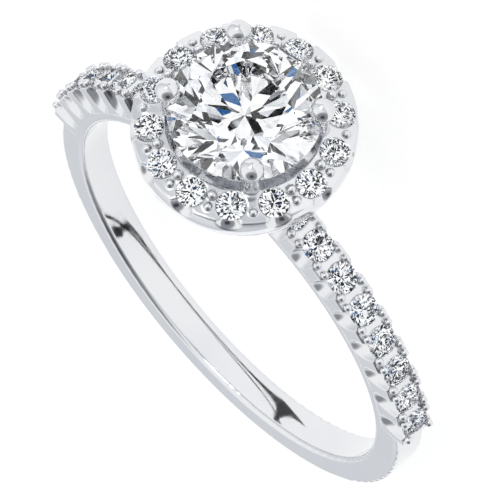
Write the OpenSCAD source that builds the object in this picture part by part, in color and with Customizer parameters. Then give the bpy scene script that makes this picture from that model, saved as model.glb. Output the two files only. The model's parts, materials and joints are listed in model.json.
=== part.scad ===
// Halo ring: a narrow band with stones along its shoulders and, on top, a round centre
// stone in four prongs inside a cup-shaped halo of small stones.
// The ring lies on its side, as it comes to rest when it is put down: the far edge of the
// band's bottom and the side of the halo touch the surface. The origin is the middle of
// the finger hole. X runs across the ring, +Y towards the halo.

/* [Finger] */
// Inside diameter of the band
finger_d = 17.3; // [15.3:0.1:20.6]

/* [Band] */
// Width of the band along the finger
band_w = 1.56; // [1.5:0.02:1.9]
// Thickness of the plain lower stretch
band_t = 1.3; // [1.15:0.05:1.7]
// Rounding along the edges of the plain stretch
band_edge_r = 0.18; // [0.08:0.02:0.3]
// Height of the set shoulders over the plain stretch
shoulder_rise = 0.44; // [0.36:0.02:0.6]
// Metal left beside each shoulder stone
shoulder_rim = 0.13; // [0.12:0.01:0.2]
// Metal between one shoulder stone and the next
shoulder_gap = 0.31; // [0.28:0.01:0.4]
// Angle from the halo to the first shoulder stone, in degrees
first_stone_a = 15.7; // [14.8:0.1:18]

/* [Halo] */
// Diameter of the small halo stones
halo_stone_d = 1.2; // [1.1:0.01:1.24]
// Metal between the centre stone and the halo stones, seen from above
halo_gap = 0.1; // [0.08:0.01:0.2]
// Metal outside the halo stones
halo_rim = 0.12; // [0.1:0.01:0.25]
// Outward lean of the halo stones, in degrees
halo_lean = 12; // [6:1:16]
// Height of the halo stones over the finger hole's wall
halo_rise = 5.47; // [5.3:0.01:7]
// Height of the cup under the halo stones
cup_h = 1.97; // [1.8:0.01:2.3]

/* [Centre stone] */
// Diameter of the centre stone
centre_d = 6.2; // [5.8:0.02:7]
// Height of the centre stone's girdle over the halo stones
centre_rise = 0.88; // [0.8:0.01:1.1]
// Diameter of the four prongs
prong_d = 0.76; // [0.66:0.02:0.84]

/* [Hidden] */
$fn = 48;

// Round brilliant cut, as shares of the stone's diameter, and its facet angles
table_share = 0.56;
star_share = 0.5;
lower_share = 0.23;
girdle_share = 0.025;
crown_a = 34.5;
pavilion_a = 40.8;
// Clearance between a stone and its seat, and how far the seat's cut reaches over the girdle
seat_clear = 0.02;
seat_open = 0.7;

// Band
finger_r = finger_d/2;
half_w = band_w/2;
plain_r = finger_r + band_t;
set_r = plain_r + shoulder_rise;
// the set shoulders stand this much wider than the plain stretch, on each side
shoulder_lip = 0.02;
set_half_w = half_w + shoulder_lip;
// they start this far out from the finger hole and have finely rounded edges
shoulder_depth = 0.45;
shoulder_edge_r = 0.07;

// Shoulder stones
shoulder_n = 8;
shoulder_d = band_w - 2*shoulder_rim;
girdle_r = set_r - 0.04;
pitch_a = 2*asin((shoulder_d + shoulder_gap)/(2*girdle_r));
last_a = first_stone_a + (shoulder_n - 1)*pitch_a;
set_end_a = last_a + 0.56*pitch_a;
// four beads hold each stone: their radius, height over its girdle, and clearance to its crown
shoulder_bead_r = 0.17;
shoulder_bead_lift = 0.15;
bead_clear = 0.03;
shoulder_bead_out = shoulder_d/2
    + (shoulder_bead_r + bead_clear - over_crown(shoulder_bead_lift, shoulder_d))/sin(crown_a);
// gouge that scallops the sides: radius of its round edge, radius of the arc that it swings
// through, how far under the top it is deepest, and that depth on the upper and lower side
gouge_r = 0.5;
gouge_swing_r = 1;
gouge_down = 0.25;
upper_scallop_in = 0.38;
lower_scallop_in = 0.22;

// Halo
halo_n = 14;
halo_pitch = 360/halo_n;
centre_r = centre_d/2;
halo_r = centre_r + halo_gap + halo_stone_d/2;
halo_z = finger_r + halo_rise;
halo_in_r = centre_r + 0.4*halo_gap;
wall_r = halo_r + halo_stone_d/2 + halo_rim;
// the cup's wall is part of a circle this big, with its widest point this far below
bulge_r = 2.3;
bulge_z = halo_z - 0.57;
cup_z = halo_z - cup_h;
// a ledge inside the cup, under the centre stone's edge
ledge_z = halo_z - 0.5;
// balls that scallop the cup's rim: radius, and how far they stand out of the wall and under
// the stones
halo_ball_r = 0.62;
halo_ball_out = 0.3;
halo_ball_down = 0.2;
// beads between the halo stones: how far outside their circle, and height over their girdles
outer_bead_out = 0.25;
outer_bead_lift = 0.04;
inner_bead_out = -0.2;
inner_bead_lift = 0.13;

// Head
centre_z = halo_z + centre_rise;
prong_r = prong_d/2;
// each prong ends in a dome this much bigger than its wire
prong_tip_r = prong_r + 0.12;
// prongs stand in the second gap of halo stones from the shoulders
prong_a = 1.5*halo_pitch;
prong_top_r = centre_r - 0.03;
prong_top_z = centre_z + 0.86;
prong_foot_r = centre_r - 0.2;
prong_foot_z = cup_z + 0.5;
cup_in_r = prong_foot_r - 0.55;
collar_r = 1.62;
collar_z = set_r + 0.1;
collar_wire_r = 0.34;

// Tilt of the ring lying on its side: the level line that touches both the rounded
// edge of the band's bottom and the bulge of the cup
rest_rise = bulge_z + plain_r - band_edge_r;
rest_side = wall_r - bulge_r - (half_w - band_edge_r);
rest_tilt = atan(rest_side/rest_rise)
          + asin((bulge_r - band_edge_r)/norm([rest_rise, rest_side]));

// Height over a stone's crown, square to its slope, of a point above its girdle's edge
function over_crown(lift, d) = (lift - d*girdle_share/2)*cos(crown_a);

// Radius of a bead that stands between two halo stones and just clears their crowns
function halo_bead_r(out, lift) =
    let (gap = norm([(halo_r + out)*sin(halo_pitch/2), (halo_r + out)*cos(halo_pitch/2) - halo_r]))
    min(0.24, (gap - halo_stone_d/2)*sin(crown_a) + over_crown(lift, halo_stone_d) - bead_clear);

// Points of n places evenly round a circle
function ring_points(r, z, n, a0) =
    [for (k = [0:n-1]) [r*cos(a0 + k*360/n), r*sin(a0 + k*360/n), z]];

// Round brilliant with its girdle at z = 0: table, 8 star, 8 bezel and 16 upper girdle
// facets over a thin girdle, 16 lower girdle and 8 pavilion facets under it
function brilliant_points(d) =
    let (r = d/2, g = d*girdle_share/2, table_r = r*table_share,
         star_r = (table_r*cos(22.5)*(1 - star_share) + r*star_share),
         lower_r = r*lower_share)
    concat(
        ring_points(table_r, g + (r - table_r)*tan(crown_a), 8, 0),
        ring_points(star_r, g + (r - star_r*cos(22.5))*tan(crown_a), 8, 22.5),
        ring_points(r, g, 16, 0),
        ring_points(r, -g, 16, 0),
        ring_points(lower_r, -g - (r - lower_r*cos(22.5))*tan(pavilion_a), 8, 22.5),
        [[0, 0, -g - r*tan(pavilion_a)]]);

function brilliant_faces() =
    let (table = 0, star = 8, top = 16, low = 32, deep = 48, culet = 56)
    concat(
        [[for (k = [7:-1:0]) table + k]],
        [for (k = [0:7]) [table + k, table + (k + 1)%8, star + k]],
        [for (k = [0:7]) [table + k, star + k, top + 2*k, star + (k + 7)%8]],
        [for (k = [0:7]) [star + k, top + 2*k + 1, top + 2*k]],
        [for (k = [0:7]) [star + k, top + (2*k + 2)%16, top + 2*k + 1]],
        [for (k = [0:15]) [top + k, top + (k + 1)%16, low + (k + 1)%16, low + k]],
        [for (k = [0:7]) [deep + k, low + 2*k, low + 2*k + 1]],
        [for (k = [0:7]) [deep + k, low + 2*k + 1, low + (2*k + 2)%16]],
        [for (k = [0:7]) [culet, deep + (k + 7)%8, low + 2*k, deep + k]]);

module brilliant(d) {
    polyhedron(brilliant_points(d), brilliant_faces());
}

// Seat cut for a stone: a cone under the pavilion and a straight opening over the girdle
module seat(d) {
    r = d/2 + seat_clear;
    depth = d*girdle_share/2 + r*tan(pavilion_a);
    rotate_extrude()
        polygon([[0, -depth - seat_clear], [r, -seat_clear], [r, seat_open], [0, seat_open]]);
}

// Seat of the centre stone, which also cuts the notch in each prong
module centre_seat() {
    c = 1.5*seat_clear;
    r = centre_r + c;
    g = centre_d*girdle_share/2;
    table_r = centre_r*table_share;
    top = g + (centre_r - table_r)*tan(crown_a) + c;
    deep = g + centre_r*tan(pavilion_a) + 2*c;
    rotate_extrude()
        polygon([[0, -deep], [r, -g - c/2], [r, g + c/2], [table_r + c, top], [0, top]]);
}

// Puts the head's own upright frame (z away from the finger) into the lying ring
module on_head() {
    lying() rotate([-90, 0, 0]) children();
}

// Turns the ring from upright in its own plane to the way it lies
module lying() {
    rotate([rest_tilt, 0, 0]) children();
}

// Place of shoulder stone k on the right (side = 1) or left (side = -1) shoulder, with z
// away from the finger hole's middle and y along the finger
module on_shoulder(side, a, r) {
    rotate([0, 0, -side*a]) rotate([-90, 0, 0]) translate([0, 0, r]) children();
}

// Place of halo stone k: number 1 stands over the right shoulder
module on_halo(k) {
    rotate([0, 0, (k - 1)*halo_pitch]) translate([halo_r, 0, halo_z])
        rotate([0, halo_lean, 0]) children();
}

// Section of a band between two radii, with rounded corners
module band_section(r0, r1, half, edge) {
    translate([r0 + edge, -half]) square([r1 - r0 - 2*edge, 2*half]);
    translate([r0, -half + edge]) square([r1 - r0, 2*half - 2*edge]);
    for (r = [r0 + edge, r1 - edge], y = [-half + edge, half - edge])
        translate([r, y]) circle(edge);
}

// Plain band, a full circle
module plain_band() {
    rotate_extrude() band_section(finger_r, plain_r, half_w, band_edge_r);
}

// Raised shoulders that carry the stones, from one end of the row to the other
module raised_shoulders() {
    rotate([0, 0, 90 - set_end_a]) rotate_extrude(angle = 2*set_end_a)
        band_section(finger_r + shoulder_depth, set_r, set_half_w, shoulder_edge_r);
}

// Scallop in one side of a shoulder beside a stone, cut with a round gouge that swings in from
// the top and out again, so that it narrows to a tip
module shoulder_scallop(side, a, y, depth) {
    on_shoulder(side, a, set_r - gouge_down)
        translate([0, y*(set_half_w + gouge_swing_r + gouge_r - depth), 0])
            rotate([0, 90, 0]) rotate([0, 0, -90*y - 50]) rotate_extrude(angle = 100)
                translate([gouge_swing_r, 0]) circle(gouge_r);
}

// Four beads that hold the shoulder stone at angle a
module shoulder_beads(side, a) {
    for (turn = [45:90:315])
        on_shoulder(side, a, girdle_r + shoulder_bead_lift) rotate([0, 0, turn])
            translate([shoulder_bead_out, 0, 0]) sphere(shoulder_bead_r);
}

// Section of the cup: bowl-shaped wall outside, ledge and open well inside
module cup_section() {
    lean_t = tan(halo_lean);
    intersection() {
        translate([wall_r - bulge_r, bulge_z]) circle(bulge_r);
        polygon([[halo_in_r, halo_z + (halo_r - halo_in_r)*lean_t],
                 [wall_r + 0.1, halo_z + (halo_r - wall_r - 0.1)*lean_t],
                 [wall_r + 0.1, cup_z], [cup_in_r, cup_z],
                 [cup_in_r, ledge_z], [halo_in_r, ledge_z + 0.15]]);
    }
}

module prong(a) {
    lean = atan((prong_top_r - prong_foot_r)/(prong_top_z - prong_foot_z));
    rotate([0, 0, a]) {
        translate([prong_top_r, 0, prong_top_z]) sphere(prong_tip_r);
        translate([prong_foot_r, 0, prong_foot_z]) rotate([0, lean, 0])
            cylinder(h = (prong_top_z - prong_foot_z)/cos(lean), r = prong_r - 0.01);
    }
}

// Strut from the collar up into the cup, under each prong
module strut(a) {
    rise = prong_foot_z - collar_z;
    run = prong_foot_r - collar_r;
    rotate([0, 0, a]) translate([collar_r, 0, collar_z]) rotate([0, atan(run/rise), 0])
        cylinder(h = norm([rise, run]), r = collar_wire_r - 0.03);
}

module collar() {
    rotate_extrude() translate([collar_r, collar_z]) circle(collar_wire_r);
}

// Bead on the leaning top of the halo, this far outside the circle of stones
module halo_bead(out, lift) {
    translate([halo_r + out, 0, halo_z - out*tan(halo_lean) + lift])
        sphere(halo_bead_r(out, lift));
}

module head() {
    rotate_extrude() cup_section();
    collar();
    for (a = [prong_a, 180 - prong_a, 180 + prong_a, -prong_a]) {
        prong(a);
        strut(a);
    }
    for (k = [0:halo_n-1]) rotate([0, 0, (k + 0.5)*halo_pitch]) {
        halo_bead(outer_bead_out, outer_bead_lift);
        // the four prongs stand where the inner beads of their gaps would be
        if (k != 1 && k != 5 && k != 8 && k != 12) halo_bead(inner_bead_out, inner_bead_lift);
    }
}

// Scallops in the cup's rim below the outer edge of each halo stone
module halo_scallop(k) {
    rotate([0, 0, (k - 1)*halo_pitch])
        translate([wall_r + halo_ball_out, 0, halo_z - halo_ball_down]) sphere(halo_ball_r);
}

module ring_metal() {
    color("gainsboro") lying() {
        difference() {
            union() {
                plain_band();
                raised_shoulders();
                rotate([-90, 0, 0]) head();
            }
            for (side = [-1, 1], k = [0:shoulder_n-1]) {
                on_shoulder(side, first_stone_a + k*pitch_a, girdle_r) seat(shoulder_d);
                shoulder_scallop(side, first_stone_a + k*pitch_a, -1, upper_scallop_in);
                shoulder_scallop(side, first_stone_a + k*pitch_a, 1, lower_scallop_in);
            }
            rotate([-90, 0, 0]) {
                translate([0, 0, centre_z]) centre_seat();
                for (k = [1:halo_n]) {
                    on_halo(k) seat(halo_stone_d);
                    halo_scallop(k);
                }
            }
        }
        for (side = [-1, 1], k = [0:shoulder_n-1])
            shoulder_beads(side, first_stone_a + k*pitch_a);
    }
}

module centre_stone() {
    color("white") on_head() translate([0, 0, centre_z]) brilliant(centre_d);
}

module halo_stone(k) {
    color("white") on_head() on_halo(k) brilliant(halo_stone_d);
}
module halo_stone_1() { halo_stone(1); }
module halo_stone_2() { halo_stone(2); }
module halo_stone_3() { halo_stone(3); }
module halo_stone_4() { halo_stone(4); }
module halo_stone_5() { halo_stone(5); }
module halo_stone_6() { halo_stone(6); }
module halo_stone_7() { halo_stone(7); }
module halo_stone_8() { halo_stone(8); }
module halo_stone_9() { halo_stone(9); }
module halo_stone_10() { halo_stone(10); }
module halo_stone_11() { halo_stone(11); }
module halo_stone_12() { halo_stone(12); }
module halo_stone_13() { halo_stone(13); }
module halo_stone_14() { halo_stone(14); }

// Stones are counted from the halo down each shoulder
module shoulder_stone(side, k) {
    color("white") lying() on_shoulder(side, first_stone_a + (k - 1)*pitch_a, girdle_r)
        brilliant(shoulder_d);
}
module right_stone_1() { shoulder_stone(1, 1); }
module right_stone_2() { shoulder_stone(1, 2); }
module right_stone_3() { shoulder_stone(1, 3); }
module right_stone_4() { shoulder_stone(1, 4); }
module right_stone_5() { shoulder_stone(1, 5); }
module right_stone_6() { shoulder_stone(1, 6); }
module right_stone_7() { shoulder_stone(1, 7); }
module right_stone_8() { shoulder_stone(1, 8); }
module left_stone_1() { shoulder_stone(-1, 1); }
module left_stone_2() { shoulder_stone(-1, 2); }
module left_stone_3() { shoulder_stone(-1, 3); }
module left_stone_4() { shoulder_stone(-1, 4); }
module left_stone_5() { shoulder_stone(-1, 5); }
module left_stone_6() { shoulder_stone(-1, 6); }
module left_stone_7() { shoulder_stone(-1, 7); }
module left_stone_8() { shoulder_stone(-1, 8); }

ring_metal();
centre_stone();
halo_stone_1();
halo_stone_2();
halo_stone_3();
halo_stone_4();
halo_stone_5();
halo_stone_6();
halo_stone_7();
halo_stone_8();
halo_stone_9();
halo_stone_10();
halo_stone_11();
halo_stone_12();
halo_stone_13();
halo_stone_14();
right_stone_1();
right_stone_2();
right_stone_3();
right_stone_4();
right_stone_5();
right_stone_6();
right_stone_7();
right_stone_8();
left_stone_1();
left_stone_2();
left_stone_3();
left_stone_4();
left_stone_5();
left_stone_6();
left_stone_7();
left_stone_8();
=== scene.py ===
import json
import math

import bmesh
import bpy
from mathutils import Matrix, Quaternion, Vector


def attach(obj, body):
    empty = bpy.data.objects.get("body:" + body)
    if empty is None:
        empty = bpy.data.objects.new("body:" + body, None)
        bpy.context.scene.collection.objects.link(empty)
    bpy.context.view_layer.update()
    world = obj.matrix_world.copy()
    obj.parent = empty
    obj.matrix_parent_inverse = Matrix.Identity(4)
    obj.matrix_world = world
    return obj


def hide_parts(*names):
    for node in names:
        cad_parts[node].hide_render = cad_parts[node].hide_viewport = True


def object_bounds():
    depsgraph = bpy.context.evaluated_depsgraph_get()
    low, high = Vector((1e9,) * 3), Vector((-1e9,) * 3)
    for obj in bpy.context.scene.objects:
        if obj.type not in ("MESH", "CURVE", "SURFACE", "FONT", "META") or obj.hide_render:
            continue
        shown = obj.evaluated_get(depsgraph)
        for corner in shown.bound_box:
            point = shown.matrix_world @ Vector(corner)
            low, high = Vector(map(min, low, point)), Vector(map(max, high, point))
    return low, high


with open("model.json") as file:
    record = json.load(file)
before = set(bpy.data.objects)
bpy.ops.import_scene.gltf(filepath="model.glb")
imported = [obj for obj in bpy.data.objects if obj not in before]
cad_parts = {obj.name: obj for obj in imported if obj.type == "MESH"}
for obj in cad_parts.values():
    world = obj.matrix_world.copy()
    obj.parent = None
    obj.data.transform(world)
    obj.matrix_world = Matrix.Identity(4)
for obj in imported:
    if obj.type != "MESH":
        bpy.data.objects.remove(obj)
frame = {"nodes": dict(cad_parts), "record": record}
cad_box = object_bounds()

scene = bpy.context.scene

# The ring itself: band, shoulders, cup, prongs and beads, cast and soldered into one piece of
# white gold, plated and polished to a mirror. The seats and the metal round the beads keep the
# duller marks of the setter's graver, where no polishing wheel reaches. Their colour is also
# darkened in the corners and recesses: that darkening is painted shade.
MM = 0.001
WHITE = (1, 1, 1, 1)
COOL_PLATING = (0.80, 0.81, 0.83, 1)
WARM_PLATING = (0.84, 0.845, 0.855, 1)
PLATING_GRAIN = 260.0
CLOUDS = (0.3, 0.7)
RECESS_REACH = 0.26*MM
# painted shade: the colour that corners and recesses are darkened to
PAINTED_SHADE_TONE = (0.1, 0.1, 0.105, 1)
HAZE_GRAIN = 2400.0
HAZE = (0.02, 0.08)
SATIN = 0.34
EDGE_R = 0.15*MM
GRAVER_GRAIN = 2600.0
GRAVER_DEPTH = 0.06*MM
GRAVER_STRENGTH = 0.7
# how open a place is, from 0 in a corner to 1 in the open: each pair says where that mark of
# the recesses is strongest and where it ends. The darkened colour is painted shade.
PAINTED_SHADE_PLACES = (0.1, 0.6)
SATIN_PLACES = (0.3, 0.95)
GRAVER_PLACES = (0.5, 0.98)


def graded(nodes, links, source, before, after):
    """The source, stretched from the pair of values before to the pair after."""
    spread = nodes.new("ShaderNodeMapRange")
    spread.inputs["From Min"].default_value = before[0]
    spread.inputs["From Max"].default_value = before[1]
    spread.inputs["To Min"].default_value = after[0]
    spread.inputs["To Max"].default_value = after[1]
    links.new(source, spread.inputs["Value"])
    return spread.outputs["Result"]


def mottle(nodes, links, place, grain, detail):
    """Soft random patches, smaller as the grain number grows."""
    cloud = nodes.new("ShaderNodeTexNoise")
    cloud.inputs["Scale"].default_value = grain
    cloud.inputs["Detail"].default_value = detail
    links.new(place, cloud.inputs["Vector"])
    return cloud.outputs["Fac"]


def two_tones(nodes, links, source, ends, low_tone, high_tone):
    """The low tone up to the first of the ends, the high tone from the second on."""
    ramp = nodes.new("ShaderNodeValToRGB")
    low, high = ramp.color_ramp.elements
    low.position = ends[0]
    low.color = low_tone
    high.position = ends[1]
    high.color = high_tone
    links.new(source, ramp.inputs["Fac"])
    return ramp


def polished_white_metal():
    metal = bpy.data.materials.new("polished_white_metal")
    metal.use_nodes = True
    nodes, links = metal.node_tree.nodes, metal.node_tree.links
    finish = nodes["Principled BSDF"]
    finish.inputs["Metallic"].default_value = 1.0
    place = nodes.new("ShaderNodeTexCoord").outputs["Object"]
    # the plating is a touch cooler and warmer over a few millimetres
    plating = mottle(nodes, links, place, PLATING_GRAIN, 3.0)
    tone = two_tones(nodes, links, plating, CLOUDS, COOL_PLATING, WARM_PLATING)
    recess = nodes.new("ShaderNodeAmbientOcclusion")
    recess.samples = 6
    recess.only_local = True
    recess.inputs["Distance"].default_value = RECESS_REACH
    openness = recess.outputs["AO"]
    # painted shade: the base colour is darkened where the occlusion finds corners and recesses
    depth = two_tones(nodes, links, openness, PAINTED_SHADE_PLACES, PAINTED_SHADE_TONE, WHITE)
    shade = nodes.new("ShaderNodeMix")
    shade.data_type = "RGBA"
    shade.blend_type = "MULTIPLY"
    shade.inputs["Factor"].default_value = 1.0
    links.new(tone.outputs["Color"], shade.inputs["A"])
    links.new(depth.outputs["Color"], shade.inputs["B"])
    links.new(shade.outputs["Result"], finish.inputs["Base Color"])
    # the wheel leaves a fine haze, and the recesses stay satin
    wheel = mottle(nodes, links, place, HAZE_GRAIN, 4.0)
    rough = nodes.new("ShaderNodeMath")
    rough.operation = "ADD"
    links.new(graded(nodes, links, wheel, CLOUDS, HAZE), rough.inputs[0])
    links.new(graded(nodes, links, openness, SATIN_PLACES, (SATIN, 0.0)), rough.inputs[1])
    links.new(rough.outputs["Value"], finish.inputs["Roughness"])
    # every edge is buffed round, and the graver leaves small facets beside the stones
    edge = nodes.new("ShaderNodeBevel")
    edge.samples = 8
    edge.inputs["Radius"].default_value = EDGE_R
    marks = nodes.new("ShaderNodeBump")
    marks.inputs["Distance"].default_value = GRAVER_DEPTH
    links.new(mottle(nodes, links, place, GRAVER_GRAIN, 1.0), marks.inputs["Height"])
    strength = graded(nodes, links, openness, GRAVER_PLACES, (GRAVER_STRENGTH, 0.0))
    links.new(strength, marks.inputs["Strength"])
    links.new(edge.outputs["Normal"], marks.inputs["Normal"])
    links.new(marks.outputs["Normal"], finish.inputs["Normal"])
    return metal


ring_metal = frame["nodes"]["ring_metal"]
white_metal = polished_white_metal()
for slot in ring_metal.material_slots:
    slot.material = white_metal

# The large centre stone: a clear round brilliant, cut flat on 57 facets from a turned blank. It
# sits in notches in the four prongs with its table outwards.
FINGER_R = 8.65
HALO_RISE = 5.47
HALO_Z = FINGER_R + HALO_RISE
CENTRE_D = 6.2
CENTRE_RISE = 0.88
CENTRE_Z = HALO_Z + CENTRE_RISE
TABLE_SHARE = 0.56
STAR_SHARE = 0.5
LOWER_SHARE = 0.23
GIRDLE_SHARE = 0.025
CROWN = math.radians(34.5)
PAVILION = math.radians(40.8)
MAIN_TURN = 45
BLANK_SIDES = 96
BLANK_DEPTH_SHARE = 1.2
SAME_POINT = 1e-5
UPRIGHT = 0.1
DIAMOND_IOR = 2.42
FACET_GRAIN = 1500.0
FACET_HAZE = 0.012
GIRDLE_GRAIN = 9000.0
GIRDLE_FROST = 0.5
TINT_GRAIN = 700.0
TINT_PLACES = (0.35, 0.6)
COOL_TINT = (0.93, 0.945, 0.965, 1)
WHEEL_PLACES = (0.4, 0.8)


def around(radius, height, degrees):
    turn = math.radians(degrees)
    return Vector((radius*math.cos(turn), radius*math.sin(turn), height))


def brilliant_facets(d):
    """A point on each facet and its outward normal, for a girdle at z = 0."""
    r, g = d/2, d*GIRDLE_SHARE/2
    half_turn = MAIN_TURN/2
    half = math.cos(math.radians(half_turn))
    table_r = r*TABLE_SHARE
    table_z = g + (r - table_r)*math.tan(CROWN)
    star_r = table_r*half*(1 - STAR_SHARE) + r*STAR_SHARE
    star_z = g + (r - star_r*half)*math.tan(CROWN)
    lower_r = r*LOWER_SHARE
    lower_z = -g - (r - lower_r*half)*math.tan(PAVILION)
    facets = [(Vector((0, 0, table_z)), Vector((0, 0, 1)))]

    def through(a, b, c):
        normal = (b - a).cross(c - a).normalized()
        facets.append((a, normal if normal.dot(a) > 0 else -normal))

    for main in range(0, 360, MAIN_TURN):
        crown_normal = around(math.sin(CROWN), math.cos(CROWN), main)
        pavilion_normal = around(math.sin(PAVILION), -math.cos(PAVILION), main)
        facets.append((around(r, g, main), crown_normal))
        facets.append((around(r, -g, main), pavilion_normal))
        star = around(star_r, star_z, main + half_turn)
        tip = around(lower_r, lower_z, main + half_turn)
        through(star, around(table_r, table_z, main), around(table_r, table_z, main + MAIN_TURN))
        for side in (main, main + MAIN_TURN):
            through(star, around(r, g, side), around(r, g, main + half_turn))
            through(tip, around(r, -g, side), around(r, -g, main + half_turn))
    return facets


def brilliant(d):
    """A round blank of diameter d, cut flat on every facet. The girdle keeps the second slot."""
    bm = bmesh.new()
    bmesh.ops.create_cone(bm, cap_ends=True, segments=BLANK_SIDES, radius1=d/2, radius2=d/2,
                          depth=BLANK_DEPTH_SHARE*d)
    for point, normal in brilliant_facets(d):
        cut = bmesh.ops.bisect_plane(bm, geom=bm.verts[:] + bm.edges[:] + bm.faces[:],
                                     plane_co=point, plane_no=normal, clear_outer=True,
                                     dist=SAME_POINT)
        rim = [e for e in cut["geom_cut"] if isinstance(e, bmesh.types.BMEdge)]
        bmesh.ops.contextual_create(bm, geom=rim)
    bmesh.ops.recalc_face_normals(bm, faces=bm.faces)
    for face in bm.faces:
        if abs(face.normal.z) < UPRIGHT:
            face.material_index = 1
    return bm


def crystal(name, grain, roughest, gloss):
    """Clear crystal with faint clouds of tint; the cutter's wheel leaves haze up to roughest."""
    stone = bpy.data.materials.new(name)
    stone.use_nodes = True
    nodes, links = stone.node_tree.nodes, stone.node_tree.links
    body = nodes["Principled BSDF"]
    body.inputs["IOR"].default_value = DIAMOND_IOR
    body.inputs["Specular Tint"].default_value = (gloss, gloss, gloss, 1)
    body.inputs["Transmission Weight"].default_value = 1.0
    place = nodes.new("ShaderNodeTexCoord").outputs["Object"]
    clouds = mottle(nodes, links, place, TINT_GRAIN, 2.0)
    tint = two_tones(nodes, links, clouds, TINT_PLACES, COOL_TINT, WHITE)
    links.new(tint.outputs["Color"], body.inputs["Base Color"])
    wheel = mottle(nodes, links, place, grain, 4.0)
    haze = graded(nodes, links, wheel, WHEEL_PLACES, (0.0, roughest))
    links.new(haze, body.inputs["Roughness"])
    return stone


# less of the white tent on the facets of the small stones leaves their darks black
polished_facets = crystal("polished_facets", FACET_GRAIN, FACET_HAZE, 0.75)
small_facets = crystal("small_facets", FACET_GRAIN, FACET_HAZE, 0.25)
bruted_girdle = crystal("bruted_girdle", GIRDLE_GRAIN, GIRDLE_FROST, 1.0)
# the ring lies on its side: its finger hole leans from upright by this much
hole_axis = frame["record"]["mounts"][0]["axis"]
lying = Matrix.Rotation(math.atan2(-hole_axis[1], hole_axis[2]), 4, "X")
outwards = Matrix.Rotation(math.radians(-90), 4, "X")
on_head = lying @ outwards


def set_stone(node, diameter, place, spin, facets):
    """A brilliant with its girdle at place, turned about its own axis, in its node's stead."""
    bm = brilliant(diameter)
    mesh = bpy.data.meshes.new(node + "_cut")
    bmesh.ops.transform(bm, matrix=Matrix.Scale(MM, 4) @ place @ Matrix.Rotation(spin, 4, "Z"),
                        verts=bm.verts)
    bm.to_mesh(mesh)
    bm.free()
    mesh.materials.append(facets)
    mesh.materials.append(bruted_girdle)
    stone = bpy.data.objects.new(node + "_cut", mesh)
    scene.collection.objects.link(stone)
    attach(stone, "root")
    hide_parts(node)


set_stone("centre_stone", CENTRE_D, on_head @ Matrix.Translation((0, 0, CENTRE_Z)), 0,
          polished_facets)

# The halo: fourteen small clear brilliants in a circle round the centre stone, leaning outwards.
# Each is pressed into its seat in the cup's rim, and the beads between them are pushed over it.
# The setter doesn't line up their facets, so each is turned a little further.
HALO_N = 14
HALO_R = 3.8
HALO_LEAN = math.radians(12)
HALO_STONE_D = 1.2
TURN = 2.4
for k in range(HALO_N):
    place = (on_head @ Matrix.Rotation(math.tau*k/HALO_N, 4, "Z")
             @ Matrix.Translation((HALO_R, 0, HALO_Z)) @ Matrix.Rotation(HALO_LEAN, 4, "Y"))
    set_stone("halo_stone_%d" % (k + 1), HALO_STONE_D, place, TURN*k, small_facets)

# The shoulders: eight small clear brilliants down each side, from just under the halo. Each is
# pressed into its seat in the band, and four beads over the scallops are pushed over its edge.
BAND_T = 1.3
SHOULDER_RISE = 0.44
GIRDLE_DOWN = 0.04
GIRDLE_R = FINGER_R + BAND_T + SHOULDER_RISE - GIRDLE_DOWN
SHOULDER_N = 8
SHOULDER_D = 1.3
SHOULDER_GAP = 0.31
PITCH = 2*math.asin((SHOULDER_D + SHOULDER_GAP)/(2*GIRDLE_R))
FIRST = math.radians(15.7)
for side, word in ((1, "right"), (-1, "left")):
    for k in range(SHOULDER_N):
        place = (lying @ Matrix.Rotation(-side*(FIRST + k*PITCH), 4, "Z") @ outwards
                 @ Matrix.Translation((0, 0, GIRDLE_R)))
        set_stone("%s_stone_%d" % (word, k + 1), SHOULDER_D, place, TURN*k + side, small_facets)

# The floor: a wide sheet of matt white acrylic that the ring lies on. It is lit from below, so
# it looks white and the shadows on it stay faint.
FLOOR_HALF = 2.0
FLOOR_Z = cad_box[0][2]
ACRYLIC_TONE = (0.3, 0.3, 0.3, 1)
ACRYLIC_ROUGHNESS = 0.7
ACRYLIC_SHINE = 0.2
ACRYLIC_GLOW = 0.8
bm = bmesh.new()
bmesh.ops.create_grid(bm, x_segments=1, y_segments=1, size=FLOOR_HALF)
mesh = bpy.data.meshes.new("floor")
bm.to_mesh(mesh)
bm.free()
floor = bpy.data.objects.new("floor", mesh)
scene.collection.objects.link(floor)
floor.location.z = FLOOR_Z
acrylic = bpy.data.materials.new("white_acrylic")
acrylic.use_nodes = True
sheet = acrylic.node_tree.nodes["Principled BSDF"]
sheet.inputs["Base Color"].default_value = ACRYLIC_TONE
sheet.inputs["Roughness"].default_value = ACRYLIC_ROUGHNESS
sheet.inputs["Specular IOR Level"].default_value = ACRYLIC_SHINE
sheet.inputs["Emission Color"].default_value = WHITE
sheet.inputs["Emission Strength"].default_value = ACRYLIC_GLOW
mesh.materials.append(acrylic)

# Three black paper cards lie on the acrylic, and only reflections show them. The centre stone's
# table mirrors the large one in front of the head, and the wall of the finger hole mirrors the
# two narrow ones inside it as dark bands.
CARD_LIFT = 0.03*MM
CARD_BLACK = (0.01, 0.01, 0.01, 1)
# the corners of each card, in millimetres
CARDS = [
    [(-4.6, 34.9), (-16.9, 84.4), (-32.9, 78.3), (-8.9, 33.3)],
    [(-3.0, -4.52), (-1.5, -4.45), (-0.9, -4.3), (0.15, -4.28), (0.15, -4.42), (-0.2, -4.7),
     (-1.0, -4.7), (-1.5, -4.58), (-3.0, -4.62)],
    [(-3.35, -3.9), (-3.0, -3.9), (-2.3, -4.3), (-1.0, -5.17), (0.3, -6.1), (0.2, -6.27),
     (-1.1, -5.37), (-2.4, -4.45), (-3.1, -4.35)],
]


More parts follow.
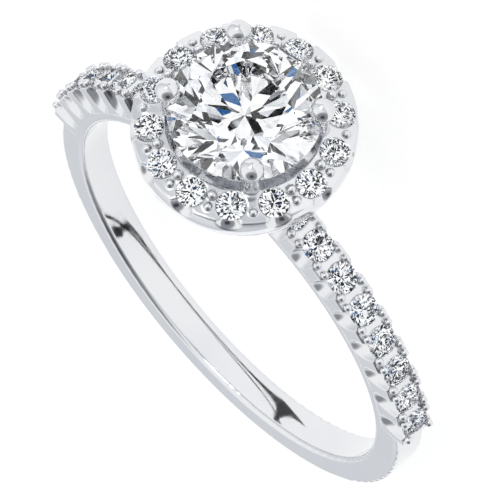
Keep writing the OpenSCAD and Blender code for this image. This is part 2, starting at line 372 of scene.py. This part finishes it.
def stage_panel(name, bm, material, shown_to):
    """Something of the studio that only the kind of ray named shown_to meets."""
    mesh = bpy.data.meshes.new(name)
    bm.to_mesh(mesh)
    bm.free()
    mesh.materials.append(material)
    panel = bpy.data.objects.new(name, mesh)
    scene.collection.objects.link(panel)
    panel.visible_camera = False
    panel.visible_diffuse = False
    panel.visible_glossy = shown_to == "glossy"
    panel.visible_transmission = shown_to == "transmission"
    panel.visible_shadow = False


bm = bmesh.new()
for corners in CARDS:
    bm.faces.new([bm.verts.new((x*MM, y*MM, FLOOR_Z + CARD_LIFT)) for x, y in corners])
card = bpy.data.materials.new("black_card")
card.use_nodes = True
card.node_tree.nodes["Principled BSDF"].inputs["Base Color"].default_value = CARD_BLACK
stage_panel("black_cards", bm, card, "glossy")

# Round the stones hang white and black panels with a little blue, which give the facets their
# sparkle: a sky, and a sheet on the floor. Only light that has been through a stone meets them,
# so the metal and the camera see the plain tent instead.
SKY_R = 0.2
SKY_GRAIN = 3.2/SKY_R
SHEET_R = 0.15
SHEET_SIDES = 64
SHEET_LIFT = 0.02*MM
SHEET_GRAIN = 160.0
PANEL_SHIFT = (0.1, 0.2, 0.3)
PANEL_LIGHT = 1.2
BLACK = (0, 0, 0, 1)
LIGHT_GREY = (0.75, 0.77, 0.8, 1)
STEEL_BLUE = (0.03, 0.15, 0.36, 1)
# the panels are black up to DARK_SHARE, but blue at the very lowest, and white past WHITE_SHARE
DARK_SHARE = 0.44
WHITE_SHARE = DARK_SHARE + 0.12
BETWEEN = [
    (DARK_SHARE + 0.03, LIGHT_GREY),
    (DARK_SHARE - 0.15, BLACK),
    (DARK_SHARE - 0.19, STEEL_BLUE),
]


def panel_cloth(name, grain):
    cloth = bpy.data.materials.new(name)
    cloth.use_nodes = True
    nodes, links = cloth.node_tree.nodes, cloth.node_tree.links
    glow = nodes["Principled BSDF"]
    glow.inputs["Base Color"].default_value = BLACK
    glow.inputs["Specular IOR Level"].default_value = 0.0
    glow.inputs["Emission Strength"].default_value = PANEL_LIGHT
    move = nodes.new("ShaderNodeMapping")
    move.inputs["Location"].default_value = PANEL_SHIFT
    links.new(nodes.new("ShaderNodeTexCoord").outputs["Object"], move.inputs["Vector"])
    patches = mottle(nodes, links, move.outputs["Vector"], grain, 0.0)
    tone = two_tones(nodes, links, patches, (DARK_SHARE, WHITE_SHARE), BLACK, WHITE)
    for share, colour in BETWEEN:
        tone.color_ramp.elements.new(share).color = colour
    links.new(tone.outputs["Color"], glow.inputs["Emission Color"])
    return cloth


bm = bmesh.new()
bmesh.ops.create_icosphere(bm, subdivisions=5, radius=SKY_R)
stage_panel("sky", bm, panel_cloth("sky_panels", SKY_GRAIN), "transmission")
bm = bmesh.new()
bmesh.ops.create_circle(bm, cap_ends=True, segments=SHEET_SIDES, radius=SHEET_R,
                        matrix=Matrix.Translation((0, 0, FLOOR_Z + SHEET_LIFT)))
stage_panel("sheet", bm, panel_cloth("sheet_panels", SHEET_GRAIN), "transmission")

# The studio: a tent of white cloth round the ring. Its walls are greyer near the floor, a lamp
# shines through beside the camera, and a grey cloth hung at one side gives the metal its darks.
LOW_WALL = (0.72, 0.74, 0.77, 1)
WALL_HEIGHTS = (0.1, 0.7)
TENT_LIGHT = 1.05
# azimuth, height and half width of each patch, its soft edge, in degrees, and its brightness
PATCHES = [
    (-12, 42, 34, 24, (0.36, 0.37, 0.39)),
    (-12, 42, 8, 16, (0.1, 0.1, 0.11)),
    (100, 24, 6, 3, (4.0, 4.0, 4.0)),
]


def toward(azimuth, height):
    a, h = math.radians(azimuth), math.radians(height)
    return Vector((math.cos(a)*math.cos(h), math.sin(a)*math.cos(h), math.sin(h)))


world = bpy.data.worlds.new("studio")
scene.world = world
world.use_nodes = True
nodes, links = world.node_tree.nodes, world.node_tree.links
tent = nodes["Background"]
ray = nodes.new("ShaderNodeTexCoord").outputs["Generated"]
heights = nodes.new("ShaderNodeSeparateXYZ")
links.new(ray, heights.inputs["Vector"])
wall = two_tones(nodes, links, heights.outputs["Z"], WALL_HEIGHTS, LOW_WALL, WHITE)
colour = wall.outputs["Color"]
for azimuth, height, size, soft, tone in PATCHES:
    dot = nodes.new("ShaderNodeVectorMath")
    dot.operation = "DOT_PRODUCT"
    links.new(ray, dot.inputs[0])
    dot.inputs[1].default_value = toward(azimuth, height)
    edge = nodes.new("ShaderNodeMapRange")
    edge.interpolation_type = "SMOOTHSTEP"
    edge.inputs["From Min"].default_value = math.cos(math.radians(size + soft))
    edge.inputs["From Max"].default_value = math.cos(math.radians(size))
    links.new(dot.outputs["Value"], edge.inputs["Value"])
    mix = nodes.new("ShaderNodeMix")
    mix.data_type = "RGBA"
    links.new(edge.outputs["Result"], mix.inputs["Factor"])
    links.new(colour, mix.inputs["A"])
    mix.inputs["B"].default_value = (*tone, 1)
    colour = mix.outputs["Result"]
links.new(colour, tent.inputs["Color"])
tent.inputs["Strength"].default_value = TENT_LIGHT

# The camera: it looks at the ring as the photograph does, from the near side and 27 degrees
# above the floor, from so far away that the ring is hardly foreshortened.
VIEW_AZIMUTH = 69.107
VIEW_HEIGHT = 26.964
AIM = Vector((-0.544, 0.708, -0.920))
DISTANCE = 402.73
ROLL = math.radians(-126.602)
LENS = 712.76
SENSOR = 36
NEAREST = 0.01
FARTHEST = 10
CONTRAST = 0.8
FACET_PASSES = 24
METAL_PASSES = 16
back = toward(VIEW_AZIMUTH, VIEW_HEIGHT)
camera = bpy.data.objects.new("camera", bpy.data.cameras.new("camera"))
scene.collection.objects.link(camera)
camera.location = MM*(AIM + DISTANCE*back)
camera.rotation_mode = "QUATERNION"
camera.rotation_quaternion = back.to_track_quat("Z", "Y") @ Quaternion((0, 0, 1), ROLL)
camera.data.lens = LENS
camera.data.sensor_width = SENSOR
camera.data.clip_start = NEAREST
camera.data.clip_end = FARTHEST
scene.camera = camera
# below 1, this darkens the middle greys, as the photograph's strong contrast does
scene.view_settings.view_transform = "Standard"
scene.view_settings.gamma = CONTRAST
# light passes through many facets before it leaves a stone
scene.cycles.max_bounces = FACET_PASSES
scene.cycles.glossy_bounces = METAL_PASSES
scene.cycles.transmission_bounces = FACET_PASSES
